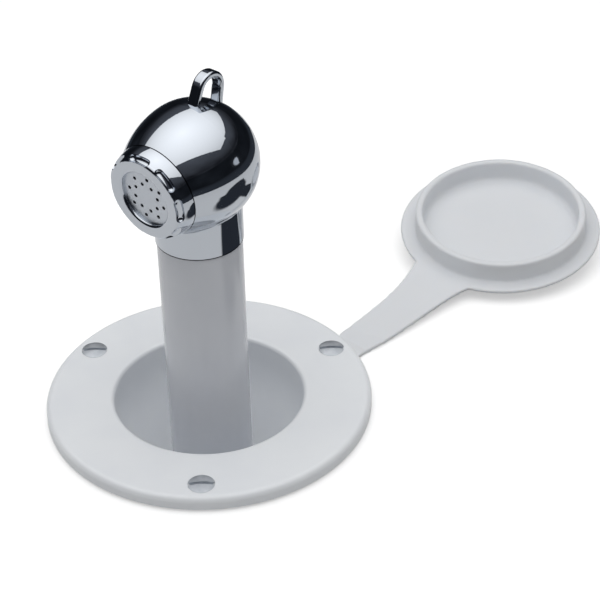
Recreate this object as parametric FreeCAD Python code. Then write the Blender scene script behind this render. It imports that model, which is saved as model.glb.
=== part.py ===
import FreeCAD, Part
import math
import os
from FreeCAD import Placement, Rotation, Vector

# A hand shower that is stored in the deck. A white moulded cup hangs in a hole in the deck by its
# flange, with a closed pocket below it. The handset stands in the cup, slides up and down in a
# guide ring and turns on the swivel of its hose inlet. A soft cap on a tether closes the mouth.
# Millimetres. The origin is the centre of the deck plane under the gasket, +Z is up, and +X
# points to the screw that holds the tether.

# Flange, gasket and screws
FLANGE_R = 60.0
FLANGE_T = 5.0
FLANGE_EDGE_R = 2.2
GASKET_T = 1.0
GASKET_INSET = 1.5
GASKET_CUTOUT_CLEAR = 1.0
SCREW_FROM_RIM = 8.0
SCREW_COUNT = 3
SCREW_HEAD_R = 4.8
SCREW_HEAD_DOME = 0.6
SCREW_SHANK_R = 2.2
SCREW_THREAD_R = 2.4
SCREW_THREAD_DROP = 0.3
SCREW_LENGTH = 25.0
SCREW_POINT = 5.0
SCREW_HOLE_CLEAR = 0.2
SCREW_SEAT_CLEAR = 0.1
SLOT_WIDTH = 1.3
SLOT_DEPTH = 1.5
SLOT_ANGLE = -28.0

# Cup: mouth, well for the head, and the spigot below it
MOUTH_R = 34.9
LIP_R = 1.6
WALL = 2.6
PLUG_SEAT_DEPTH = 10.0
WELL_TAPER = 1.9
WELL_CORNER_R = 11.0
SPIGOT_R = 18.0
SPIGOT_WALL = 2.4
SPIGOT_H = 16.0
STOW_ROOM = 1.45

# Pocket for the lowered handle, pushed over the spigot
POCKET_FIT = 0.05
POCKET_WALL = 2.2
POCKET_TAPER = 1.0
POCKET_CORNER_R = 3.0
COLLAR_H = 12.0
COLLAR_T = 1.6

# Cap and tether, one soft moulding that is split where it bends
STRAP_T = 1.6
STRAP_W = 14.6
STRAP_W_CAP = 23.6
STRAP_FLARE_R = 14.0
STRAP_LIFT = 0.2
STRAP_SWING = 18.3
SWING_LIMIT = 27.0
STRAP_SIDE_CLEAR = 0.4
TAB_HOLE_CLEAR = 0.1
FOLD_REACH = 14.5
FOLD_CLEAR = 0.1
CAP_REACH = 103.8
CAP_LIFT = 5.1
CAP_R = 40.5
PLUG_CLEAR = 0.4
PLUG_WALL = 3.0
PLUG_H = 8.2
PLUG_EDGE_R = 0.6
PLUG_ROOT_R = 1.5
CAP_RIM_ROUND = 0.5

# Guide ring and hose guide
GUIDE_H = 14.0
GUIDE_FLANGE_T = 2.0
GUIDE_FLANGE_R = 21.0
GUIDE_CLEAR = 0.3
HOSE_HOLE_R = 11.0
HOSE_BORE_R = 8.5
HOSE_FIT = 0.1
HOSE_GUIDE_FLANGE_R = 14.5
HOSE_GUIDE_FLANGE_T = 2.0
HOSE_GUIDE_TAIL = 13.0
GUIDE_NUT_FLATS = 30.0
GUIDE_NUT_T = 7.0
HOSE_NUT_ROOM = 9.0

# Handset: handle, neck and head
HANDLE_R = 15.1
HANDLE_LEN = 146.0
HANDLE_BORE_R = 11.6
HANDLE_END_ROUND = 1.5
HANDLE_END_RECESS = 1.0
SOCKET_R = 13.2
SOCKET_H = 9.0
SOCKET_CLEAR = 0.1
NECK_R = 15.6
NECK_ABOVE_FLANGE = 69.2
BALL_ABOVE_NECK = 30.1
BALL_R = 22.3
FRONT_ARC_R = 36.8
HEAD_WALL = 2.4
NECK_CREASE_R = 1.2
SEAM_X = 19.2
SPRAY_AZIMUTH = -158.4
SPRAY_DROP = 4.5

# Nozzle
FACE_X = 26.1
FACE_R = 14.2
FACE_ROUND = 1.4
FACE_BULGE = 0.25
RECESS_R = 10.1
RECESS_ROUND = 1.2
RECESS_DEPTH = 1.6
NOZZLE_THREAD_R = 14.2
NOZZLE_THREAD_CLEAR = 0.2
PLATE_R = 11.5
PLATE_T = 1.8
PLATE_CLEAR = 0.2
SEAL_T = 1.8
SEAL_BORE_R = 9.8
SPRAY_HOLE_R = 0.7
SPRAY_RINGS = ((5.2, 12.75), (7.65, 35.25))
HOLES_PER_RING = 8
GRIP_COUNT = 8
GRIP_R = 1.5
GRIP_ARC = 23.0
GRIP_X = 24.9
GRIP_CENTRE_R = 15.6
GRIP_PHASE = 2.5

# Hanging eye
EYE_LEAN = 22.8
EYE_OUT_R = 6.5
EYE_IN_R = 4.1
EYE_CENTRE_H = 4.1
EYE_SPLAY = 7.0
EYE_BAND = 4.4
EYE_ROUND = 0.9

# Valve, push button and spring, along the spray axis
WEB_T = 2.2
REAR_WEB_X = -8.2
FRONT_WEB_X = 11.0
WEB_CLEAR = 0.2
VALVE_R = 9.0
VALVE_FLANGE_T = 2.9
CHAMBER_R = 6.0
SEAT_X = 7.8
SEAT_T = 2.0
SEAT_R = 6.5
SEAT_HOLE_R = 3.8
OUTLET_R = 8.0
STEM_R = 3.0
STEM_CLEAR = 0.05
STEM_TIP_R = 2.0
STEM_STEP = 1.0
WASHER_R = 5.6
WASHER_T = 2.0
WASHER_GAP = 0.1
GLAND_R = 6.4
GLAND_FLANGE_R = 7.4
GLAND_FLANGE_T = 1.2
GLAND_DEPTH = 4.2
SEAL_RING_R = 0.8
SEAL_SIDE_CLEAR = 0.12
BEZEL_OUT_R = 16.3
BEZEL_IN_R = 13.3
BEZEL_SEAT_X = -13.0
BEZEL_CLEAR = 0.1
BUTTON_R = 13.0
BUTTON_FLANGE_R = 14.7
BUTTON_CHAMBER_R = 15.0
BUTTON_FLANGE_T = 1.2
BUTTON_RIM_X = -17.6
BUTTON_TIP_X = -22.0
BUTTON_WALL = 2.0
BUTTON_DOME_DROP = 1.1
BUTTON_BOSS_R = 4.4
BOSS_FACE_X = -16.4
BOSS_SOCKET = 2.2
SPRING_R = 5.3
SPRING_WIRE_R = 0.45
SPRING_TURNS = 3.5

# Waterway from the hose inlet to the valve
TUBE_R = 5.0
TUBE_BORE_R = 3.8
INLET_R = 6.5
INLET_H = 11.0
TUBE_SOCKET_H = 4.0
TUBE_SEAL_T = 1.2
SWIVEL_FLANGE_R = 9.6
SWIVEL_FLANGE_T = 4.5
SWIVEL_NECK_R = 8.0
SWIVEL_CLEAR = 0.08
SWIVEL_GAP = 0.3
SWIVEL_NUT_T = 7.0
BUSH_H = 10.0
BUSH_ROOF = 4.0
BUSH_CLEAR = 0.1
INLET_FLATS = 22.0
INLET_HEX_T = 4.8
INLET_THREAD_R = 10.48
INLET_THREAD_LEN = 10.0
INLET_BORE_R = 5.0
INLET_LEAD = 1.0
O_RING_R = 0.75
O_RING_SIDE_CLEAR = 0.15

# Heights that follow from the sizes above
FLANGE_TOP = GASKET_T + FLANGE_T
NECK_Z = FLANGE_TOP + NECK_ABOVE_FLANGE
BALL_Z = NECK_Z + BALL_ABOVE_NECK
EYE_RISE = (BALL_R + EYE_CENTRE_H) * math.cos(math.radians(EYE_LEAN - SPRAY_DROP))
EYE_TOP_Z = BALL_Z + EYE_RISE + EYE_OUT_R
STOW_STROKE = EYE_TOP_Z - (FLANGE_TOP - STOW_ROOM)
GUIDE_TOP = NECK_Z - STOW_STROKE - GUIDE_CLEAR
WELL_FLOOR = GUIDE_TOP - GUIDE_FLANGE_T
HANDLE_END_Z = NECK_Z - HANDLE_LEN
INLET_HEX_TOP = HANDLE_END_Z - SWIVEL_GAP
INLET_THREAD_TOP = INLET_HEX_TOP - INLET_HEX_T
INLET_END_Z = INLET_THREAD_TOP - INLET_THREAD_LEN
HOSE_GUIDE_TOP = INLET_END_Z - STOW_STROKE - HOSE_NUT_ROOM
POCKET_FLOOR = HOSE_GUIDE_TOP - HOSE_GUIDE_FLANGE_T
POCKET_END = POCKET_FLOOR - POCKET_WALL
SPIGOT_END = WELL_FLOOR - WALL - SPIGOT_H
SPIGOT_OUT_R = SPIGOT_R + SPIGOT_WALL
SCREW_CIRCLE_R = FLANGE_R - SCREW_FROM_RIM
PLUG_SEAT_Z = FLANGE_TOP - LIP_R - PLUG_SEAT_DEPTH
SCREW_HOLE_R = SCREW_THREAD_R + SCREW_HOLE_CLEAR
PLATE_X = FACE_X - RECESS_DEPTH
GUIDE_RING_R = HANDLE_R + GUIDE_CLEAR
BEYOND = 1.0

HEAD = Placement(
    Vector(0, 0, BALL_Z),
    Rotation(Vector(0, 0, 1), SPRAY_AZIMUTH) * Rotation(Vector(0, 1, 0), SPRAY_DROP),
)
TETHER = Placement(Vector(SCREW_CIRCLE_R, 0, 0), Rotation(Vector(0, 0, 1), STRAP_SWING))


# Drawing helpers
def upright(point):
    """A profile point (radius, height) for a piece turned about the vertical axis."""
    return Vector(point[0], 0, point[1])


def lengthwise(point):
    """A profile point (distance along the spray axis, radius) for a piece of the head."""
    return Vector(point[0], point[1], 0)


def flat(point):
    """A point of a plan outline."""
    return Vector(point[0], point[1], 0)


def outline(place, start, *steps):
    """A closed face. A step is an end point, or a middle and an end point for an arc."""
    edges = []
    here = start
    for step in steps + ((start,),):
        end = step[-1]
        if end == here:
            continue
        if len(step) == 2:
            edges.append(Part.Arc(place(here), place(step[0]), place(end)).toShape())
        else:
            edges.append(Part.makeLine(place(here), place(end)))
        here = end
    return Part.Face(Part.Wire(edges))


def turned(start, *steps):
    """A body turned about the vertical axis."""
    return outline(upright, start, *steps).revolve(Vector(0, 0, 0), Vector(0, 0, 1), 360)


def turned_head(start, *steps):
    """A body turned about the spray axis, in the head's own frame."""
    return outline(lengthwise, start, *steps).revolve(Vector(0, 0, 0), Vector(1, 0, 0), 360)


def tube(inner, outer, low, high):
    """A plain upright tube."""
    return turned((inner, low), ((outer, low),), ((outer, high),), ((inner, high),))


def head_tube(inner, outer, rear, front):
    """A plain tube along the spray axis."""
    return turned_head((rear, inner), ((rear, outer),), ((front, outer),), ((front, inner),))


def disc(radius, low, high, x=0.0, y=0.0):
    """An upright round bar or hole."""
    return Part.makeCylinder(radius, high - low, Vector(x, y, low))


def hexagon(across_flats, low, high):
    """A hexagon nut blank with its corners turned off at both ends."""
    corner = across_flats / math.sqrt(3)
    corners = [
        Vector(corner * math.cos(math.radians(60 * k)), corner * math.sin(math.radians(60 * k)), low)
        for k in range(7)
    ]
    blank = Part.Face(Part.makePolygon(corners)).extrude(Vector(0, 0, high - low))
    rim = across_flats / 2
    slope = (corner - rim) * math.tan(math.radians(30))
    turned_off = turned(
        (0, low),
        ((rim, low),),
        ((corner, low + slope),),
        ((corner, high - slope),),
        ((rim, high),),
        ((0, high),),
    )
    return blank.common(turned_off)


def arc_point(centre, radius, degrees):
    """The point of a circle at an angle."""
    turn = math.radians(degrees)
    return (centre[0] + radius * math.cos(turn), centre[1] + radius * math.sin(turn))


def edge_circles(shape, radius, height):
    """The circular edges of a turned body at a radius and height."""
    found = []
    for edge in shape.Edges:
        if not isinstance(edge.Curve, Part.Circle):
            continue
        if abs(edge.Curve.Radius - radius) < 0.01 and abs(edge.Curve.Center.z - height) < 0.01:
            found.append(edge)
    return found


def screw_places():
    """The centre of each flange screw."""
    turns = [2 * math.pi * k / SCREW_COUNT for k in range(SCREW_COUNT)]
    return [(SCREW_CIRCLE_R * math.cos(turn), SCREW_CIRCLE_R * math.sin(turn)) for turn in turns]


def ball_x(radius):
    """Where the rear of the head's outer surface has this radius."""
    return -math.sqrt(BALL_R**2 - radius**2)


def front_r(x, inset=0.0):
    """The head's radius in front of its widest ring, inside by an inset."""
    reach = FRONT_ARC_R - inset
    return BALL_R - FRONT_ARC_R + math.sqrt(reach**2 - x**2)


# Cup, gasket and screws
def swing_space(low, high):
    """The fan that the tether's root sweeps about its screw."""
    half = STRAP_W / 2 + STRAP_SIDE_CLEAR
    reach = FLANGE_R - SCREW_CIRCLE_R + STRAP_W
    turn = math.radians(SWING_LIMIT)
    side = (-half * math.sin(turn), half * math.cos(turn))
    far = (side[0] + reach * math.cos(turn), side[1] + reach * math.sin(turn))
    fan = outline(
        flat, (side[0], side[1]), ((far[0], far[1]),), ((far[0] + reach, 0.0),), ((far[0], -far[1]),),
        ((side[0], -side[1]),)
    ).extrude(Vector(0, 0, high - low))
    fan.translate(Vector(SCREW_CIRCLE_R, 0, low))
    return fan.fuse(disc(half, low, high, SCREW_CIRCLE_R, 0))


def cup_inside():
    """The hollow of the cup: lip, plug seat, tapered well and spigot bore."""
    knee_r = MOUTH_R - WELL_TAPER
    corner = (knee_r - WELL_CORNER_R, WELL_FLOOR + WELL_CORNER_R)
    lip = (MOUTH_R + LIP_R, FLANGE_TOP - LIP_R)
    return turned(
        (0, SPIGOT_END - BEYOND),
        ((SPIGOT_R, SPIGOT_END - BEYOND),),
        ((SPIGOT_R, WELL_FLOOR),),
        ((corner[0], WELL_FLOOR),),
        (arc_point(corner, WELL_CORNER_R, -45), (knee_r, corner[1])),
        ((MOUTH_R, PLUG_SEAT_Z),),
        ((MOUTH_R, FLANGE_TOP - LIP_R),),
        (arc_point(lip, LIP_R, 135), (MOUTH_R + LIP_R, FLANGE_TOP)),
        ((MOUTH_R + LIP_R, FLANGE_TOP + BEYOND),),
        ((0, FLANGE_TOP + BEYOND),),
    )


def cup_outside():
    """The outer form of the cup, with the flange's rounded edge."""
    spigot_r = MOUTH_R + WALL
    knee_r = spigot_r - WELL_TAPER
    corner = (MOUTH_R - WELL_TAPER - WELL_CORNER_R, WELL_FLOOR + WELL_CORNER_R)
    outer_corner_r = WELL_CORNER_R + WALL
    edge = (FLANGE_R - FLANGE_EDGE_R, FLANGE_TOP - FLANGE_EDGE_R)
    return turned(
        (0, SPIGOT_END),
        ((SPIGOT_OUT_R, SPIGOT_END),),
        ((SPIGOT_OUT_R, WELL_FLOOR - WALL),),
        ((corner[0], WELL_FLOOR - WALL),),
        (arc_point(corner, outer_corner_r, -45), (knee_r, corner[1])),
        ((spigot_r, PLUG_SEAT_Z),),
        ((spigot_r, GASKET_T),),
        ((FLANGE_R, GASKET_T),),
        ((FLANGE_R, edge[1]),),
        (arc_point(edge, FLANGE_EDGE_R, 45), (edge[0], FLANGE_TOP)),
        ((0, FLANGE_TOP),),
    )


def countersunk_hole(x, y):
    """A through hole with the cone that seats a screw head."""
    cone_h = SCREW_HEAD_R - SCREW_SHANK_R
    seat = SCREW_HEAD_R + SCREW_SEAT_CLEAR
    cone = Part.makeCone(seat - cone_h, seat, cone_h, Vector(x, y, FLANGE_TOP - cone_h))
    return disc(SCREW_HOLE_R, -BEYOND, FLANGE_TOP, x, y).fuse(cone)


def deck_cup():
    """The flange, the well for the head and the spigot, moulded in one."""
    body = cup_outside().cut(cup_inside())
    for x, y in screw_places():
        body = body.cut(countersunk_hole(x, y))
    return body.cut(swing_space(0, STRAP_LIFT + STRAP_T + STRAP_SIDE_CLEAR))


def handle_pocket():
    """The closed tube that hangs from the spigot and takes the lowered handle."""
    inner_r = SPIGOT_OUT_R + POCKET_FIT
    outer_r = inner_r + POCKET_WALL
    top = WELL_FLOOR - WALL
    foot_r = outer_r - POCKET_TAPER
    foot = (foot_r - POCKET_CORNER_R, POCKET_END + POCKET_CORNER_R)
    collar_r = outer_r + COLLAR_T
    chamfer = COLLAR_T / 2
    return turned(
        (HOSE_HOLE_R, POCKET_END),
        ((foot[0], POCKET_END),),
        (arc_point(foot, POCKET_CORNER_R, -45), (foot_r, foot[1])),
        ((outer_r, top - COLLAR_H - COLLAR_T),),
        ((collar_r, top - COLLAR_H),),
        ((collar_r, top - chamfer),),
        ((collar_r - chamfer, top),),
        ((inner_r, top),),
        ((inner_r, SPIGOT_END),),
        ((inner_r - POCKET_TAPER, POCKET_FLOOR),),
        ((HOSE_HOLE_R, POCKET_FLOOR),),
    )


def deck_gasket():
    """The flat seal between flange and deck, open where the tether's root lies."""
    ring = tube(MOUTH_R + WALL + GASKET_CUTOUT_CLEAR, FLANGE_R - GASKET_INSET, 0, GASKET_T)
    for x, y in screw_places():
        ring = ring.cut(disc(SCREW_HOLE_R, -BEYOND, GASKET_T + BEYOND, x, y))
    return ring.cut(swing_space(-BEYOND, GASKET_T + BEYOND))


def flange_screw(x, y):
    """One slotted screw with a raised countersunk head."""
    cone_h = SCREW_HEAD_R - SCREW_SHANK_R
    tip_z = FLANGE_TOP - SCREW_LENGTH
    body = turned(
        (0, tip_z),
        ((SCREW_THREAD_R, tip_z + SCREW_POINT),),
        ((SCREW_THREAD_R, -SCREW_THREAD_DROP),),
        ((SCREW_SHANK_R, -SCREW_THREAD_DROP),),
        ((SCREW_SHANK_R, FLANGE_TOP - cone_h),),
        ((SCREW_HEAD_R, FLANGE_TOP),),
        ((SCREW_HEAD_R / 2, FLANGE_TOP + 3 * SCREW_HEAD_DOME / 4), (0, FLANGE_TOP + SCREW_HEAD_DOME)),
    )
    slot = Part.makeBox(3 * SCREW_HEAD_R, SLOT_WIDTH, SLOT_DEPTH + BEYOND)
    slot.translate(Vector(-1.5 * SCREW_HEAD_R, -SLOT_WIDTH / 2, FLANGE_TOP + SCREW_HEAD_DOME - SLOT_DEPTH))
    slot.rotate(Vector(0, 0, 0), Vector(0, 0, 1), SLOT_ANGLE)
    body = body.cut(slot)
    body.translate(Vector(x, y, 0))
    return body


def flange_screws():
    """The three screws of the flange."""
    return Part.makeCompound([flange_screw(x, y) for x, y in screw_places()])


def guide_ring():
    """The ring in the well's floor that guides the handle and stops the neck."""
    outer = SPIGOT_R - GUIDE_CLEAR
    return turned(
        (GUIDE_RING_R, GUIDE_TOP - GUIDE_H),
        ((outer, GUIDE_TOP - GUIDE_H),),
        ((outer, WELL_FLOOR),),
        ((GUIDE_FLANGE_R, WELL_FLOOR),),
        ((GUIDE_FLANGE_R, GUIDE_TOP - GUIDE_FLANGE_T / 2),),
        ((GUIDE_FLANGE_R - GUIDE_FLANGE_T / 2, GUIDE_TOP),),
        ((GUIDE_RING_R + GUIDE_FLANGE_T / 2, GUIDE_TOP),),
        ((GUIDE_RING_R, GUIDE_TOP - GUIDE_FLANGE_T / 2),),
    )


def hose_guide():
    """The flanged bush through which the hose leaves the pocket."""
    body_r = HOSE_HOLE_R - HOSE_FIT
    low = POCKET_END - HOSE_GUIDE_TAIL
    flare = HOSE_GUIDE_FLANGE_T / 2
    mouth = (HOSE_BORE_R + flare, HOSE_GUIDE_TOP - flare)
    return turned(
        (HOSE_BORE_R, low),
        ((body_r, low),),
        ((body_r, POCKET_FLOOR),),
        ((HOSE_GUIDE_FLANGE_R, POCKET_FLOOR),),
        ((HOSE_GUIDE_FLANGE_R, HOSE_GUIDE_TOP),),
        ((mouth[0], HOSE_GUIDE_TOP),),
        (arc_point(mouth, flare, 135), (HOSE_BORE_R, mouth[1])),
    )


def guide_nut():
    """The nut that clamps the hose guide under the pocket."""
    top = POCKET_END
    nut = hexagon(GUIDE_NUT_FLATS, top - GUIDE_NUT_T, top)
    return nut.cut(disc(HOSE_HOLE_R, top - GUIDE_NUT_T - BEYOND, top + BEYOND))


# Cap and tether
def tether_tab():
    """The root of the tether, held by its screw between flange and deck."""
    end = FOLD_REACH - STRAP_T / 2 - FOLD_CLEAR
    half = STRAP_W / 2
    tab = disc(half, STRAP_LIFT, STRAP_LIFT + STRAP_T)
    strip = Part.makeBox(end, STRAP_W, STRAP_T, Vector(0, -half, STRAP_LIFT))
    hole = disc(SCREW_THREAD_R + TAB_HOLE_CLEAR, STRAP_LIFT - BEYOND, STRAP_LIFT + STRAP_T + BEYOND)
    tab = tab.fuse(strip).removeSplitter().cut(hole)
    return tab.transformGeometry(TETHER.toMatrix())


def plug_cap():
    """The soft cap: disc, plug ring and the widening strap, in one moulding."""
    root = STRAP_W / 2
    neck_x = CAP_REACH - CAP_R
    inside_x = CAP_REACH - CAP_R / 2
    widening = (STRAP_W_CAP - STRAP_W) / 2 / (neck_x - FOLD_REACH) ** 2
    end = root + widening * (inside_x - FOLD_REACH) ** 2
    mid_x = (FOLD_REACH + inside_x) / 2
    mid = root + widening * (mid_x - FOLD_REACH) ** 2
    strap = outline(
        flat,
        (FOLD_REACH, -root),
        ((mid_x, -mid), (inside_x, -end)),
        ((inside_x, end),),
        ((mid_x, mid), (FOLD_REACH, root)),
    ).extrude(Vector(0, 0, STRAP_T))
    plate = disc(CAP_R, 0, STRAP_T, CAP_REACH, 0).fuse(strap).removeSplitter()
    creases = [
        edge for edge in plate.Edges
        if abs(edge.tangentAt(edge.FirstParameter).z) > 0.99 and neck_x < edge.CenterOfMass.x < inside_x
    ]
    plate = plate.makeFillet(STRAP_FLARE_R, creases)
    rims = [
        edge for edge in plate.Edges
        if isinstance(edge.Curve, Part.Circle) and abs(edge.Curve.Radius - CAP_R) < 0.01
    ]
    plate = plate.makeFillet(CAP_RIM_ROUND, rims)
    knuckle = outline(
        upright,
        (FOLD_REACH, 0),
        ((FOLD_REACH, STRAP_T),),
        ((FOLD_REACH - STRAP_T / 2, STRAP_T / 2), (FOLD_REACH, 0)),
    ).extrude(Vector(0, STRAP_W, 0))
    knuckle.translate(Vector(0, -root, 0))
    plug_r = MOUTH_R - PLUG_CLEAR
    ring = tube(plug_r - PLUG_WALL, plug_r, STRAP_T, STRAP_T + PLUG_H)
    ring = ring.makeFillet(PLUG_EDGE_R, edge_circles(ring, plug_r, STRAP_T + PLUG_H))
    ring = ring.makeFillet(PLUG_EDGE_R, edge_circles(ring, plug_r - PLUG_WALL, STRAP_T + PLUG_H))
    ring.translate(Vector(CAP_REACH, 0, 0))
    cap = plate.fuse([knuckle, ring]).removeSplitter()
    cap = cap.makeFillet(PLUG_ROOT_R, edge_circles(cap, plug_r - PLUG_WALL, STRAP_T))
    cap.rotate(Vector(FOLD_REACH, 0, STRAP_T / 2), Vector(0, -1, 0), CAP_LIFT)
    cap.translate(Vector(0, 0, STRAP_LIFT))
    return cap.transformGeometry(TETHER.toMatrix())


# Handle and hose inlet
def handle_sleeve():
    """The white hollow handle, with the socket that enters the chrome neck."""
    body = turned(
        (HANDLE_BORE_R, HANDLE_END_Z),
        ((HANDLE_R, HANDLE_END_Z),),
        ((HANDLE_R, NECK_Z),),
        ((SOCKET_R, NECK_Z),),
        ((SOCKET_R, NECK_Z + SOCKET_H),),
        ((HANDLE_BORE_R, NECK_Z + SOCKET_H),),
    )
    return body.makeFillet(HANDLE_END_ROUND, edge_circles(body, HANDLE_R, HANDLE_END_Z))


def swivel_nut():
    """The threaded ring that holds the swivel inlet in the handle."""
    low = HANDLE_END_Z + HANDLE_END_RECESS
    return tube(SWIVEL_NECK_R + SWIVEL_CLEAR, HANDLE_BORE_R - BUSH_CLEAR, low, low + SWIVEL_NUT_T)


def swivel_bush():
    """The bush over the swivel, with a socket for the water tube."""
    low = HANDLE_END_Z + HANDLE_END_RECESS + SWIVEL_NUT_T
    roof = low + BUSH_H - BUSH_ROOF
    outer = HANDLE_BORE_R - BUSH_CLEAR
    return tube(SWIVEL_FLANGE_R + SWIVEL_CLEAR, outer, low, roof).fuse(
        tube(TUBE_R + BUSH_CLEAR, outer, roof, low + BUSH_H)
    ).removeSplitter()


def ring_groove():
    """The height of the sealing groove on the swivel flange."""
    return HANDLE_END_Z + HANDLE_END_RECESS + SWIVEL_NUT_T + SWIVEL_GAP + SWIVEL_FLANGE_T / 2


def hose_inlet():
    """The swivelling inlet: flange, neck, hexagon and the thread for a hose nut."""
    flange_low = HANDLE_END_Z + HANDLE_END_RECESS + SWIVEL_NUT_T + SWIVEL_GAP
    flange_top = flange_low + SWIVEL_FLANGE_T
    groove = O_RING_R + O_RING_SIDE_CLEAR
    middle = ring_groove()
    swivel = turned(
        (INLET_BORE_R, INLET_HEX_TOP),
        ((SWIVEL_NECK_R, INLET_HEX_TOP),),
        ((SWIVEL_NECK_R, flange_low),),
        ((SWIVEL_FLANGE_R, flange_low),),
        ((SWIVEL_FLANGE_R, middle - groove),),
        ((SWIVEL_FLANGE_R - 2 * O_RING_R, middle - groove),),
        ((SWIVEL_FLANGE_R - 2 * O_RING_R, middle + groove),),
        ((SWIVEL_FLANGE_R, middle + groove),),
        ((SWIVEL_FLANGE_R, flange_top),),
        ((INLET_BORE_R, flange_top),),
    )
    thread = turned(
        (INLET_BORE_R, INLET_END_Z),
        ((INLET_THREAD_R - INLET_LEAD, INLET_END_Z),),
        ((INLET_THREAD_R, INLET_END_Z + INLET_LEAD),),
        ((INLET_THREAD_R, INLET_THREAD_TOP),),
        ((INLET_BORE_R, INLET_THREAD_TOP),),
    )
    grip = hexagon(INLET_FLATS, INLET_THREAD_TOP, INLET_HEX_TOP)
    grip = grip.cut(disc(INLET_BORE_R, INLET_END_Z, flange_top))
    return swivel.fuse([thread, grip]).removeSplitter()


def ring_seal(centre_r, section_r, height):
    """An upright O-ring."""
    return Part.makeTorus(centre_r, section_r, Vector(0, 0, height))


def water_tube():
    """The tube that leads the water up the handle to the valve."""
    low = HANDLE_END_Z + HANDLE_END_RECESS + SWIVEL_NUT_T + BUSH_H - BUSH_ROOF
    top = BALL_Z - INLET_H + TUBE_SOCKET_H - TUBE_SEAL_T
    return tube(TUBE_BORE_R, TUBE_R, low, top)


def tube_seal():
    """The flat seal between the water tube and the valve's inlet."""
    top = BALL_Z - INLET_H + TUBE_SOCKET_H
    return tube(TUBE_BORE_R, TUBE_R, top - TUBE_SEAL_T, top)


# Head
def head_outline():
    """The egg-shaped outside of the head, in its own frame."""
    rear = arc_point((0, 0), BALL_R, 135)
    front_mid = SEAM_X / 2
    return turned_head(
        (-BALL_R, 0),
        (rear, (0, BALL_R)),
        ((front_mid, front_r(front_mid)), (SEAM_X, front_r(SEAM_X))),
        ((SEAM_X, 0),),
    )


def head_cavity():
    """The space round the valve between the two webs."""
    rear = REAR_WEB_X + WEB_T
    front = FRONT_WEB_X - WEB_T
    inner_r = BALL_R - HEAD_WALL
    turn = math.degrees(math.acos(rear / inner_r))
    return turned_head(
        (rear, 0),
        (arc_point((0, 0), inner_r, turn),),
        (arc_point((0, 0), inner_r, (turn + 90) / 2), (0, inner_r)),
        ((front / 2, front_r(front / 2, HEAD_WALL)), (front, front_r(front, HEAD_WALL))),
        ((front, 0),),
    )


def head_shell():
    """The chrome head with its neck, webs, nozzle thread and button chamber."""
    outside = head_outline()
    outside.Placement = HEAD
    neck = disc(NECK_R, NECK_Z, BALL_Z)
    body = outside.fuse(neck).removeSplitter()
    creases = []
    for edge in body.Edges:
        middle = edge.valueAt((edge.FirstParameter + edge.LastParameter) / 2)
        on_neck = abs(math.hypot(middle.x, middle.y) - NECK_R) < 0.05
        if on_neck and NECK_Z + 1 < edge.CenterOfMass.z < BALL_Z and edge.Length > NECK_R:
            creases.append(edge)
    body = body.makeFillet(NECK_CREASE_R, creases)
    rear_x = -BALL_R - BEYOND
    hollows = [
        head_cavity(),
        head_tube(0, NOZZLE_THREAD_R + NOZZLE_THREAD_CLEAR, FRONT_WEB_X, SEAM_X + BEYOND),
        head_tube(0, VALVE_R + WEB_CLEAR, REAR_WEB_X - BEYOND, FRONT_WEB_X + BEYOND),
        head_tube(0, BUTTON_CHAMBER_R, BEZEL_SEAT_X - BEYOND, REAR_WEB_X),
        head_tube(0, BEZEL_OUT_R + BEZEL_CLEAR, rear_x, BEZEL_SEAT_X),
    ]
    for hollow in hollows:
        hollow.Placement = HEAD
        body = body.cut(hollow)
    body = body.cut(disc(SOCKET_R + SOCKET_CLEAR, NECK_Z - BEYOND, NECK_Z + SOCKET_H + SOCKET_CLEAR))
    return body.cut(disc(HANDLE_BORE_R, NECK_Z, BALL_Z - VALVE_R))


def eye_leg(radius, foot, side):
    """Where a leg of the eye leaves its arch, and where it meets the foot, on one side."""
    splay = math.radians(EYE_SPLAY)
    top = (radius * math.cos(splay), BALL_R + EYE_CENTRE_H + radius * math.sin(splay))
    spread = (top[1] - foot) * math.tan(splay)
    return (side * top[0], top[1]), (side * (top[0] + spread), foot)


def eye_outline(radius, foot):
    """A round arch on two splayed legs, in the eye's own plane."""
    right_top, right_foot = eye_leg(radius, foot, 1)
    left_top, left_foot = eye_leg(radius, foot, -1)
    crown = (0.0, BALL_R + EYE_CENTRE_H + radius)
    return outline(upright, left_foot, (right_foot,), (right_top,), (crown, left_top))


def hanging_eye():
    """The loop on top of the head: a band bent to an arch, with its feet cut to the head."""
    foot = BALL_R - EYE_OUT_R / 2
    eye = eye_outline(EYE_OUT_R, foot).extrude(Vector(0, EYE_BAND, 0))
    eye = eye.cut(eye_outline(EYE_IN_R, foot - BEYOND).extrude(Vector(0, EYE_BAND, 0)))
    eye.translate(Vector(0, -EYE_BAND / 2, 0))
    rims = [
        edge for edge in eye.Edges
        if abs(abs(edge.CenterOfMass.y) - EYE_BAND / 2) < 0.01 and edge.BoundBox.ZMax > BALL_R
    ]
    eye = eye.makeFillet(EYE_ROUND, rims)
    eye = eye.cut(Part.makeSphere(BALL_R))
    eye.rotate(Vector(0, 0, 0), Vector(0, 1, 0), -EYE_LEAN)
    eye.Placement = HEAD * eye.Placement
    return eye


def grip_pocket():
    """One grip pocket: a round groove along part of the ring's edge, with round ends."""
    half = math.radians(GRIP_ARC / 2)
    section = Part.makeCircle(GRIP_R, Vector(GRIP_X, GRIP_CENTRE_R, 0), Vector(0, 0, 1))
    groove = Part.Face(Part.Wire([section])).revolve(Vector(0, 0, 0), Vector(1, 0, 0), GRIP_ARC)
    groove.rotate(Vector(0, 0, 0), Vector(1, 0, 0), -GRIP_ARC / 2)
    ends = []
    for side in (-1, 1):
        place = Vector(GRIP_X, GRIP_CENTRE_R * math.cos(half), side * GRIP_CENTRE_R * math.sin(half))
        ends.append(Part.makeSphere(GRIP_R, place))
    return groove.fuse(ends)


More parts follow.
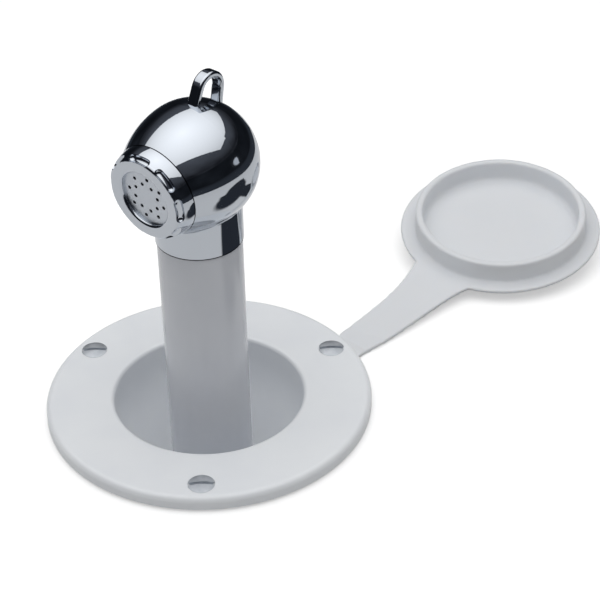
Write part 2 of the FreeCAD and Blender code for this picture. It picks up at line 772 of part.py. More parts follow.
def nozzle_ring():
    """The ring nut of the nozzle, with its recessed mouth and eight grip pockets."""
    thread_end = FRONT_WEB_X + VALVE_FLANGE_T
    plate_back = PLATE_X - PLATE_T
    seal_back = plate_back - SEAL_T
    corner_x = FACE_X - FACE_ROUND
    edge_r = FACE_R + FACE_ROUND
    mouth = (FACE_X - RECESS_ROUND, RECESS_R + RECESS_ROUND)
    ring = turned_head(
        (thread_end, SEAL_BORE_R),
        ((thread_end, NOZZLE_THREAD_R),),
        ((SEAM_X, NOZZLE_THREAD_R),),
        ((SEAM_X, front_r(SEAM_X)),),
        (((SEAM_X + corner_x) / 2, (front_r(SEAM_X) + edge_r) / 2 + FACE_BULGE), (corner_x, edge_r)),
        (arc_point((FACE_X - FACE_ROUND, FACE_R), FACE_ROUND, 45), (FACE_X, FACE_R)),
        ((FACE_X, mouth[1]),),
        (arc_point(mouth, RECESS_ROUND, -45), (mouth[0], RECESS_R)),
        ((PLATE_X, RECESS_R),),
        ((PLATE_X, PLATE_R + PLATE_CLEAR),),
        ((seal_back, PLATE_R + PLATE_CLEAR),),
        ((seal_back, SEAL_BORE_R),),
    )
    pocket = grip_pocket()
    for k in range(GRIP_COUNT):
        place = pocket.copy()
        place.rotate(Vector(0, 0, 0), Vector(1, 0, 0), GRIP_PHASE + 360.0 * k / GRIP_COUNT)
        ring = ring.cut(place)
    return ring


def spray_plate():
    """The pierced plate of the nozzle."""
    plate = head_tube(0, PLATE_R, PLATE_X - PLATE_T, PLATE_X)
    holes = []
    for radius, phase in SPRAY_RINGS:
        for k in range(HOLES_PER_RING):
            turn = math.radians(phase + 360.0 * k / HOLES_PER_RING)
            place = Vector(PLATE_X - PLATE_T - BEYOND, radius * math.cos(turn), radius * math.sin(turn))
            holes.append(Part.makeCylinder(SPRAY_HOLE_R, PLATE_T + 2 * BEYOND, place, Vector(1, 0, 0)))
    return plate.cut(holes)


def plate_seal():
    """The flat seal behind the spray plate."""
    back = PLATE_X - PLATE_T - SEAL_T
    return head_tube(SEAL_BORE_R, PLATE_R, back, PLATE_X - PLATE_T)


# Valve and push button
def valve_body():
    """The valve's housing, with its gland bore, chamber, outlet and inlet socket."""
    front = FRONT_WEB_X + VALVE_FLANGE_T
    flange_r = NOZZLE_THREAD_R - NOZZLE_THREAD_CLEAR
    body = turned_head(
        (REAR_WEB_X, 0), ((REAR_WEB_X, VALVE_R),), ((FRONT_WEB_X, VALVE_R),), ((FRONT_WEB_X, flange_r),),
        ((front, flange_r),), ((front, 0),)
    )
    body.Placement = HEAD
    body = body.fuse(disc(INLET_R, BALL_Z - INLET_H, BALL_Z))
    seat_front = SEAT_X + SEAT_T
    hollows = [
        head_tube(0, GLAND_R + BUSH_CLEAR, REAR_WEB_X - BEYOND, REAR_WEB_X + GLAND_DEPTH),
        head_tube(0, CHAMBER_R, REAR_WEB_X + GLAND_DEPTH - BEYOND, SEAT_X),
        head_tube(0, SEAT_R + BUSH_CLEAR, SEAT_X, seat_front),
        head_tube(0, OUTLET_R, seat_front, front + BEYOND),
    ]
    for hollow in hollows:
        hollow.Placement = HEAD
        body = body.cut(hollow)
    body = body.cut(disc(TUBE_BORE_R, BALL_Z - INLET_H - BEYOND, BALL_Z))
    return body.cut(disc(TUBE_R + BUSH_CLEAR, BALL_Z - INLET_H - BEYOND, BALL_Z - INLET_H + TUBE_SOCKET_H))


def valve_seat():
    """The hard ring that the washer closes on."""
    return head_tube(SEAT_HOLE_R, SEAT_R, SEAT_X, SEAT_X + SEAT_T)


def gland():
    """The flanged gland that guides the stem, with the groove of its seal."""
    front = REAR_WEB_X + GLAND_DEPTH
    bore = STEM_R + STEM_CLEAR
    middle = (REAR_WEB_X + front) / 2
    groove_r = bore + 2 * SEAL_RING_R
    half = SEAL_RING_R + SEAL_SIDE_CLEAR
    return turned_head(
        (REAR_WEB_X - GLAND_FLANGE_T, bore),
        ((REAR_WEB_X - GLAND_FLANGE_T, GLAND_FLANGE_R),),
        ((REAR_WEB_X, GLAND_FLANGE_R),),
        ((REAR_WEB_X, GLAND_R),),
        ((front, GLAND_R),),
        ((front, bore),),
        ((middle + half, bore),),
        ((middle + half, groove_r),),
        ((middle - half, groove_r),),
        ((middle - half, bore),),
    )


def stem_seal():
    """The O-ring in the gland."""
    middle = REAR_WEB_X + GLAND_DEPTH / 2
    centre_r = STEM_R + STEM_CLEAR + SEAL_RING_R
    return Part.makeTorus(centre_r, SEAL_RING_R, Vector(middle, 0, 0), Vector(1, 0, 0))


def valve_stem():
    """The stem from the button to the washer."""
    start = BOSS_FACE_X - BOSS_SOCKET
    shoulder = SEAT_X - STEM_STEP
    washer_x = SEAT_X + SEAT_T + WASHER_GAP
    tip = washer_x + WASHER_T + STEM_STEP
    return turned_head(
        (start, 0), ((start, STEM_R),), ((shoulder, STEM_R),), ((SEAT_X, STEM_TIP_R),),
        ((tip, STEM_TIP_R),), ((tip, 0),)
    )


def valve_washer():
    """The soft washer that closes on the seat from the outlet side."""
    rear = SEAT_X + SEAT_T + WASHER_GAP
    return head_tube(STEM_TIP_R, WASHER_R, rear, rear + WASHER_T)


def button_bezel():
    """The ring that keeps the button in the head; its outside carries on the round of the head."""
    turn_out = math.degrees(math.acos(ball_x(BEZEL_OUT_R) / BALL_R))
    turn_in = math.degrees(math.acos(ball_x(BEZEL_IN_R) / BALL_R))
    return turned_head(
        (BEZEL_SEAT_X, BEZEL_IN_R),
        ((BEZEL_SEAT_X, BEZEL_OUT_R),),
        (arc_point((0, 0), BALL_R, turn_out),),
        (arc_point((0, 0), BALL_R, (turn_out + turn_in) / 2), arc_point((0, 0), BALL_R, turn_in)),
    )


def push_button():
    """The domed button: a shell with a retaining flange and a boss for the stem."""
    flange_rear = BEZEL_SEAT_X + BEZEL_CLEAR
    flange_front = flange_rear + BUTTON_FLANGE_T
    inner_r = BUTTON_R - BUTTON_WALL
    dome_mid = (BUTTON_TIP_X + BUTTON_DOME_DROP, BUTTON_R / 2)
    inner_mid = (dome_mid[0] + BUTTON_WALL, inner_r / 2)
    inner_tip = BUTTON_TIP_X + BUTTON_WALL
    shell = turned_head(
        (BUTTON_TIP_X, 0),
        (dome_mid, (BUTTON_RIM_X, BUTTON_R)),
        ((flange_rear, BUTTON_R),),
        ((flange_rear, BUTTON_FLANGE_R),),
        ((flange_front, BUTTON_FLANGE_R),),
        ((flange_front, inner_r),),
        ((BUTTON_RIM_X + BUTTON_WALL, inner_r),),
        (inner_mid, (inner_tip, 0)),
    )
    boss = head_tube(0, BUTTON_BOSS_R, inner_tip - BUTTON_WALL / 2, BOSS_FACE_X)
    socket = head_tube(0, STEM_R, BOSS_FACE_X - BOSS_SOCKET, BOSS_FACE_X + BEYOND)
    return shell.fuse(boss).removeSplitter().cut(socket)


def button_spring():
    """The coil spring between the gland and the button's boss."""
    start = BOSS_FACE_X + SPRING_WIRE_R + BEZEL_CLEAR
    length = REAR_WEB_X - GLAND_FLANGE_T - SPRING_WIRE_R - BEZEL_CLEAR - start
    helix = Part.makeHelix(length / SPRING_TURNS, length, SPRING_R)
    wire = Part.Wire(
        Part.makeCircle(SPRING_WIRE_R, Vector(SPRING_R, 0, 0), Vector(0, 1, 0))
    )
    coil = Part.Wire(helix.Edges).makePipeShell([wire], True, True)
    coil.rotate(Vector(0, 0, 0), Vector(0, 1, 0), 90)
    coil.translate(Vector(start, 0, 0))
    return coil


STANDING = {
    "deck_cup": deck_cup,
    "handle_pocket": handle_pocket,
    "deck_gasket": deck_gasket,
    "flange_screws": flange_screws,
    "guide_ring": guide_ring,
    "hose_guide": hose_guide,
    "guide_nut": guide_nut,
    "tether_tab": tether_tab,
    "plug_cap": plug_cap,
    "hose_inlet": hose_inlet,
    "handle_sleeve": handle_sleeve,
    "swivel_nut": swivel_nut,
    "swivel_bush": swivel_bush,
    "water_tube": water_tube,
    "tube_seal": tube_seal,
    "head_shell": head_shell,
    "hanging_eye": hanging_eye,
    "valve_body": valve_body,
}
IN_HEAD = {
    "nozzle_ring": nozzle_ring,
    "spray_plate": spray_plate,
    "plate_seal": plate_seal,
    "valve_seat": valve_seat,
    "gland": gland,
    "stem_seal": stem_seal,
    "valve_stem": valve_stem,
    "valve_washer": valve_washer,
    "button_bezel": button_bezel,
    "push_button": push_button,
    "button_spring": button_spring,
}


def save(name, shape):
    """Write one piece and say what it is."""
    shape.exportStep("parts/" + name + ".step")
    print(name, "solids", len(shape.Solids), "valid", shape.isValid(), "volume", round(shape.Volume, 1))


os.makedirs("parts", exist_ok=True)
for name, make in STANDING.items():
    save(name, make())
for name, make in IN_HEAD.items():
    piece = make()
    piece.Placement = HEAD * piece.Placement
    save(name, piece)
save("inlet_o_ring", ring_seal(SWIVEL_FLANGE_R - O_RING_R, O_RING_R, ring_groove()))
print("well floor", round(WELL_FLOOR, 2), "pocket floor", round(POCKET_FLOOR, 2))
print("stowing stroke", round(STOW_STROKE, 2))
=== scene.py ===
# %% [markdown]
# A hand shower that is stored in a deck, as on a boat. A white flanged cup hangs in a hole in the
# deck, a chrome and white handset stands in it, and a soft cap on a strap closes it. The rigid
# pieces come in as a finished frame that is never moved. This lesson dresses them: it makes the
# studio, one finish for each real material, and the pieces whose form a smooth solid can't hold.

# %% Load the frame
import math
import bpy
from mathutils import Matrix, Vector


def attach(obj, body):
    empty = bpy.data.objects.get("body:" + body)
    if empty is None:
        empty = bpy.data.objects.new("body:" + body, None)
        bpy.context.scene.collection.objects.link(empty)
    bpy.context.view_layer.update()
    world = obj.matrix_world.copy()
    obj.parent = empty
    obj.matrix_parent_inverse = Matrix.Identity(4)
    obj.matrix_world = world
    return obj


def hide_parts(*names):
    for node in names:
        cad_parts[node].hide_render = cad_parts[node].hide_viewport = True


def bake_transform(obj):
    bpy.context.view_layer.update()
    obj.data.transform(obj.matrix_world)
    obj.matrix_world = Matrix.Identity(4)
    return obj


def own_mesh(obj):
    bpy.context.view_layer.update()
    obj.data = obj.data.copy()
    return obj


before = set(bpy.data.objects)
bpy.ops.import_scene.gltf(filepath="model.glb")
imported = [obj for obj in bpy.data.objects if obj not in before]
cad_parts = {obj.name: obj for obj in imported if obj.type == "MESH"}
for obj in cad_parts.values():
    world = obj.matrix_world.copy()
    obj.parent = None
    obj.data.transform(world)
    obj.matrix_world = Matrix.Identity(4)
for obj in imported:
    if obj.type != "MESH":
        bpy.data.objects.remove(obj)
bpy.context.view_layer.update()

# %% [markdown]
# The part's sizes are written in millimetres, as a workshop drawing gives them. Blender works in
# metres, so they pass through one factor. The studio's sizes are in metres. Operators act on
# whatever is selected, so each step starts from an empty selection.

# %% Units and selection
MM = 0.001
MM_PER_M = 1000
WELD = 0.001 * MM                   # corners closer than this are one corner
SHARP_EDGE = math.radians(60)
Z_AXIS = Vector((0, 0, 1))


def start_clean():
    """Leave edit mode, with nothing selected."""
    if bpy.context.object and bpy.context.object.mode != "OBJECT":
        bpy.ops.object.mode_set(mode="OBJECT")
    bpy.ops.object.select_all(action="DESELECT")


def only(piece):
    """Make one object the active and selected one."""
    start_clean()
    piece.select_set(True)
    bpy.context.view_layer.objects.active = piece


start_clean()
print("one millimetre is", MM, "m")

# %% [markdown]
# The photograph was taken with a long lens from above and to one side. The camera's place was
# found by fitting the flange, the screws and the mouth of the cup to the sizes they have here. It
# looks down at about 36 degrees and is rolled by one and a half.

# %% Camera
LENS_MM = 120
SENSOR_MM = 36
CAMERA_PLACE = Vector((-244.5, -528.9, 462.5)) * MM
HEADING = math.radians(61.80)
LOOK_DOWN = math.radians(35.58)
ROLL = math.radians(-1.545)

pan = Matrix.Rotation(HEADING - math.pi / 2, 4, "Z")
tilt = Matrix.Rotation(math.pi / 2 - LOOK_DOWN, 4, "X")
roll = Matrix.Rotation(ROLL, 4, "Z")
camera_data = bpy.data.cameras.new("photo_camera")
camera_data.lens = LENS_MM
camera_data.sensor_width = SENSOR_MM
camera = bpy.data.objects.new("photo_camera", camera_data)
camera.matrix_world = Matrix.Translation(CAMERA_PLACE) @ pan @ tilt @ roll
bpy.context.scene.collection.objects.link(camera)
bpy.context.scene.camera = camera
bpy.context.scene.view_settings.view_transform = "Standard"
print("camera stands", round(CAMERA_PLACE.length, 3), "m from the cup")

# %% [markdown]
# A node material is easier to read when each node is added in one line. One helper adds a node,
# sets its sockets and links its inputs. Colours are given as screen colours, but the renderer adds
# up light in linear values, so one function turns a hex colour into those. Floor and world look
# different to the camera than to the light that bounces, so both ask which it is.

# %% Material helpers
def linear(hex_colour):
    """An sRGB hex colour as the linear colour that the renderer needs, by the sRGB curve."""
    shares = [int(hex_colour[k:k + 2], 16) / 255 for k in (1, 3, 5)]
    curve = [c / 12.92 if c < 0.04045 else ((c + 0.055) / 1.055) ** 2.4 for c in shares]
    return (*curve, 1.0)


def new_material(name):
    """An empty node material."""
    material = bpy.data.materials.new(name)
    material.use_nodes = True
    material.node_tree.nodes.clear()
    return material


def add(owner, kind, settings=None, **links):
    """Add a node to a material or the world. A setting is a property, or the value or the link of
    the socket with that name or number. The other links are named for the sockets they feed."""
    node = owner.node_tree.nodes.new(kind)
    for key, value in (settings or {}).items():
        if isinstance(value, bpy.types.NodeSocket):
            owner.node_tree.links.new(value, node.inputs[key])
        elif isinstance(key, int) or key in node.inputs:
            node.inputs[key].default_value = value
        else:
            setattr(node, key, value)
    for key, source in links.items():
        owner.node_tree.links.new(source, node.inputs[key.replace("_", " ")])
    return node


def seen_directly(owner):
    """A socket that is 1 where the camera, a mirror or a clear piece looks, and 0 for light that
    bounces."""
    rays = add(owner, "ShaderNodeLightPath")
    shown = add(owner, "ShaderNodeMath", {
        "operation": "MAXIMUM", 0: rays.outputs["Is Camera Ray"], 1: rays.outputs["Is Glossy Ray"]})
    seen = add(owner, "ShaderNodeMath", {
        "operation": "MAXIMUM", 0: shown.outputs[0], 1: rays.outputs["Is Transmission Ray"]})
    return seen.outputs[0]


print("white is", [round(c, 2) for c in linear("#FFFFFF")])

# %% [markdown]
# The deck is a plain pale floor with the round hole that the cup hangs in. The camera sees it as
# the white of the photograph's background. It glows a little by itself and takes the lamp's light
# as well, so it still shows the shadow of the cup and of the cap. The chrome sees a dimmer glow
# than the camera does, set by trial against the photograph. The glow grows where the lamp no longer
# reaches, so that a low view shows next to no grey horizon. Seen from below the floor lets the view
# through, because the cup hangs under it.

# %% Floor
HOLE_R = 38.2 * MM
FLOOR_DROP = 0.05 * MM
FLOOR_R = 4.0
FLOOR_GLOW = 0.42
MIRRORED_GLOW = 0.09
LIT_R = 0.45                        # up to here the glow is FLOOR_GLOW
DARK_R = 1.1                        # and from here it is 1
FLOOR_PAINT = 0.80                  # the floor's white as it is shown
FLOOR_BOUNCE = 0.55                 # and as it sends light back
FLOOR_GRAINS = 900.0                # across the whole floor

start_clean()
bpy.ops.mesh.primitive_circle_add(vertices=256, radius=HOLE_R, location=(0, 0, -FLOOR_DROP))
floor = bpy.context.object
floor.name = "floor"
bpy.ops.object.mode_set(mode="EDIT")
bpy.ops.mesh.select_all(action="SELECT")
bpy.ops.mesh.extrude_region_move()
bpy.ops.transform.resize(value=(FLOOR_R / HOLE_R, FLOOR_R / HOLE_R, 1))
bpy.ops.mesh.select_all(action="SELECT")
bpy.ops.mesh.normals_make_consistent(inside=False)
bpy.ops.object.mode_set(mode="OBJECT")
bpy.ops.object.transform_apply(location=True, rotation=True, scale=True)
if floor.data.polygons[0].normal.z < 0:
    floor.data.flip_normals()

floor_paint = new_material("matt_white_deck")
rays = add(floor_paint, "ShaderNodeLightPath")
place = add(floor_paint, "ShaderNodeTexCoord").outputs["Object"]
grain = add(floor_paint, "ShaderNodeTexNoise", {"Scale": FLOOR_GRAINS, "Detail": 3.0})
relief = add(floor_paint, "ShaderNodeBump", {"Strength": 0.02, "Distance": 0.1 * MM},
             Height=grain.outputs[0])
distance = add(floor_paint, "ShaderNodeVectorMath", {"operation": "LENGTH"}, Vector=place)
far_glow = add(floor_paint, "ShaderNodeMapRange",
               {"From Min": LIT_R, "From Max": DARK_R, "To Min": FLOOR_GLOW},
               Value=distance.outputs["Value"])
strength = add(floor_paint, "ShaderNodeMapRange", {"To Max": MIRRORED_GLOW},
               Value=rays.outputs["Is Glossy Ray"], To_Min=far_glow.outputs[0])
glow = add(floor_paint, "ShaderNodeEmission", Strength=strength.outputs[0])
lit = add(floor_paint, "ShaderNodeBsdfDiffuse", {"Color": (FLOOR_PAINT,) * 3 + (1,)},
          Normal=relief.outputs[0])
bright = add(floor_paint, "ShaderNodeAddShader", {0: glow.outputs[0], 1: lit.outputs[0]})
plain = add(floor_paint, "ShaderNodeBsdfDiffuse", {"Color": (FLOOR_BOUNCE,) * 3 + (1,)})
floor_mix = add(floor_paint, "ShaderNodeMixShader",
                {0: seen_directly(floor_paint), 1: plain.outputs[0], 2: bright.outputs[0]})
side = add(floor_paint, "ShaderNodeNewGeometry")
clear = add(floor_paint, "ShaderNodeBsdfTransparent")
one_way = add(floor_paint, "ShaderNodeMixShader",
              {0: side.outputs["Backfacing"], 1: floor_mix.outputs[0], 2: clear.outputs[0]})
add(floor_paint, "ShaderNodeOutputMaterial", Surface=one_way.outputs[0])
floor.data.materials.append(floor_paint)
print("floor", round(2 * FLOOR_R, 1), "m across, hole", round(2 * HOLE_R / MM, 1), "mm")

# %% [markdown]
# Chrome shows its surroundings more than itself. The photograph's chrome looks as if it was lit by
# one wide soft lamp overhead, in a dark room, with a white table under the cup that ends not far
# away. A softbox is a cloth with a flash behind it, so it is brightest near the middle
# and fades towards its rim. Here it is a plane that glows and fades like that.

# %% Overhead softbox
LAMP_HEIGHT = 0.70
LAMP_SIZE = (1.40, 1.14)
LAMP_CENTRE = (-0.01, 0.07)
LAMP_TURN = math.radians(-8)
LAMP_MIDDLE = 1.75
LAMP_RIM = 0.95
LAMP_FADE = 1.0

start_clean()
bpy.ops.mesh.primitive_plane_add(
    size=1, location=(LAMP_CENTRE[0], LAMP_CENTRE[1], LAMP_HEIGHT), rotation=(0, 0, LAMP_TURN))
softbox = bpy.context.object
softbox.name = "overhead_softbox"
bpy.ops.object.mode_set(mode="EDIT")
bpy.ops.transform.resize(value=(LAMP_SIZE[0], LAMP_SIZE[1], 1), orient_type="LOCAL")
bpy.ops.object.mode_set(mode="OBJECT")
softbox.visible_camera = False

lamp_cloth = new_material("white_lamp_cloth")
place = add(lamp_cloth, "ShaderNodeTexCoord").outputs["Object"]
centred = add(lamp_cloth, "ShaderNodeMapping", {"Scale": (1 / LAMP_FADE,) * 3}, Vector=place)
middle = add(lamp_cloth, "ShaderNodeTexGradient", {"gradient_type": "SPHERICAL"},
             Vector=centred.outputs[0])
level = add(lamp_cloth, "ShaderNodeMapRange",
            {"From Min": 0.2, "To Min": LAMP_RIM, "To Max": LAMP_MIDDLE},
            Value=middle.outputs["Fac"])
shine = add(lamp_cloth, "ShaderNodeEmission", Strength=level.outputs[0])
add(lamp_cloth, "ShaderNodeOutputMaterial", Surface=shine.outputs[0])
softbox.data.materials.append(lamp_cloth)
print("softbox", LAMP_SIZE, "m at", LAMP_HEIGHT, "m")

# %% [markdown]
# The world gives a weak even light to the shaded sides. The camera and the chrome see it as white
# wherever no screen stands before it.

# %% World
AMBIENT = 0.36
WHITE = (1, 1, 1, 1)

world = bpy.data.worlds.new("studio")
bpy.context.scene.world = world
world.use_nodes = True
world.node_tree.nodes.clear()
dim = add(world, "ShaderNodeBackground", {"Color": WHITE, "Strength": AMBIENT})
full = add(world, "ShaderNodeBackground", {"Color": WHITE, "Strength": 1.0})
world_mix = add(world, "ShaderNodeMixShader",
                {0: seen_directly(world), 1: dim.outputs[0], 2: full.outputs[0]})
add(world, "ShaderNodeOutputWorld", Surface=world_mix.outputs[0])
print("ambient", AMBIENT)

# %% [markdown]
# Round the table stands a black tent: a floor from the table's edge, walls, and a lid with a hole
# just as wide as the lamp. It is lighter near its middle, as if the lamp's light grazed it, and its
# shades were set by trial. The tent only shows in reflections, and takes no light from anything.

# %% Black tent
TABLE_R = 0.37
ROOM_R = 1.75
GRAZED_R = 1.5
TENT_LIFT = 0.5 * MM
LID_SPREAD = 5
FOLD_SCALE = 1.6
FOLD_SHARE = 0.5
FELT_FROM = 0.15
FELT_TO = 0.85


def felt(name, far, near):
    """Black felt as the chrome sees it: uneven, and lighter near the middle of its sheet."""
    material = new_material(name)
    place = add(material, "ShaderNodeTexCoord").outputs["Object"]
    centred = add(material, "ShaderNodeMapping", {"Scale": (1 / GRAZED_R,) * 3}, Vector=place)
    grazed = add(material, "ShaderNodeTexGradient", {"gradient_type": "SPHERICAL"},
                 Vector=centred.outputs[0])
    folds = add(material, "ShaderNodeTexNoise", {"Scale": FOLD_SCALE, "Detail": 2.0}, Vector=place)
    uneven = add(material, "ShaderNodeMath", {
        "operation": "MULTIPLY_ADD",
        0: folds.outputs["Fac"], 1: FOLD_SHARE, 2: grazed.outputs["Fac"]})
    shades = add(material, "ShaderNodeValToRGB", Fac=uneven.outputs[0])
    shades.color_ramp.elements[0].position = FELT_FROM
    shades.color_ramp.elements[0].color = linear(far)
    shades.color_ramp.elements[1].position = FELT_TO
    shades.color_ramp.elements[1].color = linear(near)
    cloth = add(material, "ShaderNodeEmission", {"Strength": 1.0}, Color=shades.outputs[0])
    add(material, "ShaderNodeOutputMaterial", Surface=cloth.outputs[0])
    return material


def only_reflected(piece, material):
    """A studio screen that only reflections see."""
    piece.visible_camera = False
    piece.visible_diffuse = False
    piece.visible_shadow = False
    piece.visible_transmission = False
    piece.data.materials.append(material)


start_clean()
bpy.ops.mesh.primitive_circle_add(vertices=96, radius=TABLE_R, location=(0, 0, TENT_LIFT))
walls = bpy.context.object
walls.name = "tent_walls"
bpy.ops.object.mode_set(mode="EDIT")
bpy.ops.mesh.select_all(action="SELECT")
bpy.ops.mesh.extrude_region_move()
bpy.ops.transform.resize(value=(ROOM_R / TABLE_R, ROOM_R / TABLE_R, 1))
bpy.ops.mesh.extrude_region_move(TRANSFORM_OT_translate={"value": (0, 0, LAMP_HEIGHT)})
bpy.ops.object.mode_set(mode="OBJECT")
only_reflected(walls, felt("black_felt_floor", "#121418", "#353940"))

start_clean()
bpy.ops.mesh.primitive_plane_add(size=1, location=softbox.location, rotation=(0, 0, LAMP_TURN))
lid = bpy.context.object
lid.name = "tent_lid"
bpy.ops.object.mode_set(mode="EDIT")
bpy.ops.transform.resize(value=(LAMP_SIZE[0], LAMP_SIZE[1], 1), orient_type="LOCAL")
bpy.ops.mesh.delete(type="ONLY_FACE")
bpy.ops.mesh.select_all(action="SELECT")
bpy.ops.mesh.extrude_region_move()
bpy.ops.transform.resize(value=(LID_SPREAD, LID_SPREAD, 1))
bpy.ops.object.mode_set(mode="OBJECT")
only_reflected(lid, felt("black_felt_lid", "#14151A", "#5A5D64"))
print("tent", ROOM_R, "m, lid", len(lid.data.polygons), "faces")

# %% [markdown]
# The neck shows one dark stripe and the ball one dark oval, as if something dark lay on the table
# to the right. Traced back from the chrome, that is an oval some 200 mm long, with a smaller dark
# patch beside it. Two dark cards stand for them, and each fades out at its rim. A small bright
# window near the tent's wall gives the one light spot on the dark side of the ball. The cards lie
# one above the other, because a ray that passes a clear rim would miss a second card at the same
# height.

# %% Dark cards
CARDS = (                           # centre, half length and half width in metres, and turn
    ((0.131, -0.103), (0.103, 0.056), math.radians(-27)),
    ((0.122, -0.022), (0.028, 0.066), math.radians(8)),
)
CARD_FADE = 0.18
WINDOW_AT = (1.31, -0.92, 0.24)
WINDOW_R = 0.14

card_grey = new_material("dark_card")
place = add(card_grey, "ShaderNodeTexCoord").outputs["Object"]
middle = add(card_grey, "ShaderNodeTexGradient", {"gradient_type": "SPHERICAL"}, Vector=place)
fade = add(card_grey, "ShaderNodeMapRange",
           {"From Max": CARD_FADE, "interpolation_type": "SMOOTHSTEP"}, Value=middle.outputs["Fac"])
dark = add(card_grey, "ShaderNodeEmission", {"Color": linear("#30343B"), "Strength": 1.0})
nothing = add(card_grey, "ShaderNodeBsdfTransparent")
faded = add(card_grey, "ShaderNodeMixShader",
            {0: fade.outputs[0], 1: nothing.outputs[0], 2: dark.outputs[0]})
add(card_grey, "ShaderNodeOutputMaterial", Surface=faded.outputs[0])

for layer, ((x, y), (half_length, half_width), turn) in enumerate(CARDS, start=1):
    start_clean()
    bpy.ops.mesh.primitive_circle_add(
        vertices=48, radius=1, fill_type="NGON", location=(x, y, layer * MM), rotation=(0, 0, turn))
    card = bpy.context.object
    card.name = "dark_card"
    card.scale = (half_length, half_width, 1)
    only_reflected(card, card_grey)

start_clean()
bpy.ops.mesh.primitive_uv_sphere_add(
    segments=24, ring_count=12, radius=WINDOW_R, location=WINDOW_AT)
window = bpy.context.object
window.name = "small_window"
daylight = new_material("dull_daylight")
pane = add(daylight, "ShaderNodeEmission", {"Color": linear("#C8CCD2"), "Strength": 1.0})
add(daylight, "ShaderNodeOutputMaterial", Surface=pane.outputs[0])
only_reflected(window, daylight)
print(len(CARDS), "dark cards and a window")

# %% [markdown]
# The cup and the handle are moulded in white ABS, a hard plastic with a low gloss. What the eye
# knows it by is a broad soft highlight, very slight waves where the moulding cooled, and a fine
# grain from the mould. The waves are some 20 mm long, and the grain here is 0.4 mm, coarser than
# the real one, so that it shows. The handle's white is greyer than the cup's, to match the
# photograph. The inside of the cup came out much darker than in the photograph, and the reason
# wasn't found. A faint glow inside the mouth, set by trial, makes up for it. ABS has no such glow.

# %% White moulded ABS
ABS_WHITE = "#F1F4F7"
ABS_SHADE = "#EEF1F5"
WAVE_MM = 20.0
GRAIN_MM = 0.4
PLASTIC_IOR = 1.53
TONE_FROM = 0.35
TONE_TO = 0.65
MOUTH_R = 35.2 * MM
GLOW_FROM = 2 * MM                  # the glow starts at this depth
GLOW_FULL = 20 * MM                 # and is whole at this one
CUP_GLOW = 0.075


def moulded(name, colour, shade, roughness, grain_strength, inner_glow=0.0):
    """A moulded hard plastic: slow waves in tone and a fine grain. The cup's has a glow as well."""
    material = new_material(name)
    place = add(material, "ShaderNodeTexCoord").outputs["Object"]
    slow = add(material, "ShaderNodeTexNoise", {"Scale": MM_PER_M / WAVE_MM, "Detail": 2.0},
               Vector=place)
    fine = add(material, "ShaderNodeTexNoise", {"Scale": MM_PER_M / GRAIN_MM, "Detail": 2.0},
               Vector=place)
    tone = add(material, "ShaderNodeValToRGB", Fac=slow.outputs["Fac"])
    tone.color_ramp.elements[0].position = TONE_FROM
    tone.color_ramp.elements[0].color = linear(shade)
    tone.color_ramp.elements[1].position = TONE_TO
    tone.color_ramp.elements[1].color = linear(colour)
    gloss = add(material, "ShaderNodeMapRange",
                {"From Min": 0.3, "From Max": 0.7,
                 "To Min": roughness - 0.02, "To Max": roughness + 0.03},
                Value=slow.outputs["Fac"])
    relief = add(material, "ShaderNodeBump", {"Strength": grain_strength, "Distance": 0.02 * MM},
                 Height=fine.outputs["Fac"])
    surface = add(material, "ShaderNodeBsdfPrincipled", {"IOR": PLASTIC_IOR},
                  Base_Color=tone.outputs[0], Roughness=gloss.outputs[0], Normal=relief.outputs[0])
    if inner_glow:
        level = add(material, "ShaderNodeSeparateXYZ", Vector=place)
        depth = add(material, "ShaderNodeMapRange",
                    {"From Min": -GLOW_FROM, "From Max": -GLOW_FULL, "To Max": inner_glow},
                    Value=level.outputs["Z"])
        flat = add(material, "ShaderNodeVectorMath",
                   {"operation": "MULTIPLY", 0: place, 1: (1, 1, 0)})
        radius = add(material, "ShaderNodeVectorMath", {"operation": "LENGTH"},
                     Vector=flat.outputs[0])
        inside = add(material, "ShaderNodeMath",
                     {"operation": "LESS_THAN", 0: radius.outputs["Value"], 1: MOUTH_R})
        glow = add(material, "ShaderNodeMath",
                   {"operation": "MULTIPLY", 0: inside.outputs[0], 1: depth.outputs[0]})
        material.node_tree.links.new(glow.outputs[0], surface.inputs["Emission Strength"])
    add(material, "ShaderNodeOutputMaterial", Surface=surface.outputs[0])
    return material


cup_abs = moulded("moulded_white_abs", ABS_WHITE, ABS_SHADE,
                  roughness=0.30, grain_strength=0.25, inner_glow=CUP_GLOW)
pocket_abs = moulded("moulded_white_abs_pocket", ABS_WHITE, ABS_SHADE,
                     roughness=0.30, grain_strength=0.25)
handle_abs = moulded("polished_white_abs", "#D3D6DC", "#D0D3DA",
                     roughness=0.16, grain_strength=0.08)
print("white plastics", cup_abs.name, pocket_abs.name, handle_abs.name)

# %% [markdown]
# The cap and its strap are one moulding in soft PVC. It is matt and a little darker than the cup,
# and light goes some way into it before it comes out, which softens its edges. So it gets a small
# subsurface share, with a depth of about a millimetre.

# %% Soft PVC
PVC_WHITE = "#E5E7EA"
PVC_SHADE = "#E1E4E8"
PVC_WAVE_MM = 15.0
PVC_GRAIN_MM = 0.6

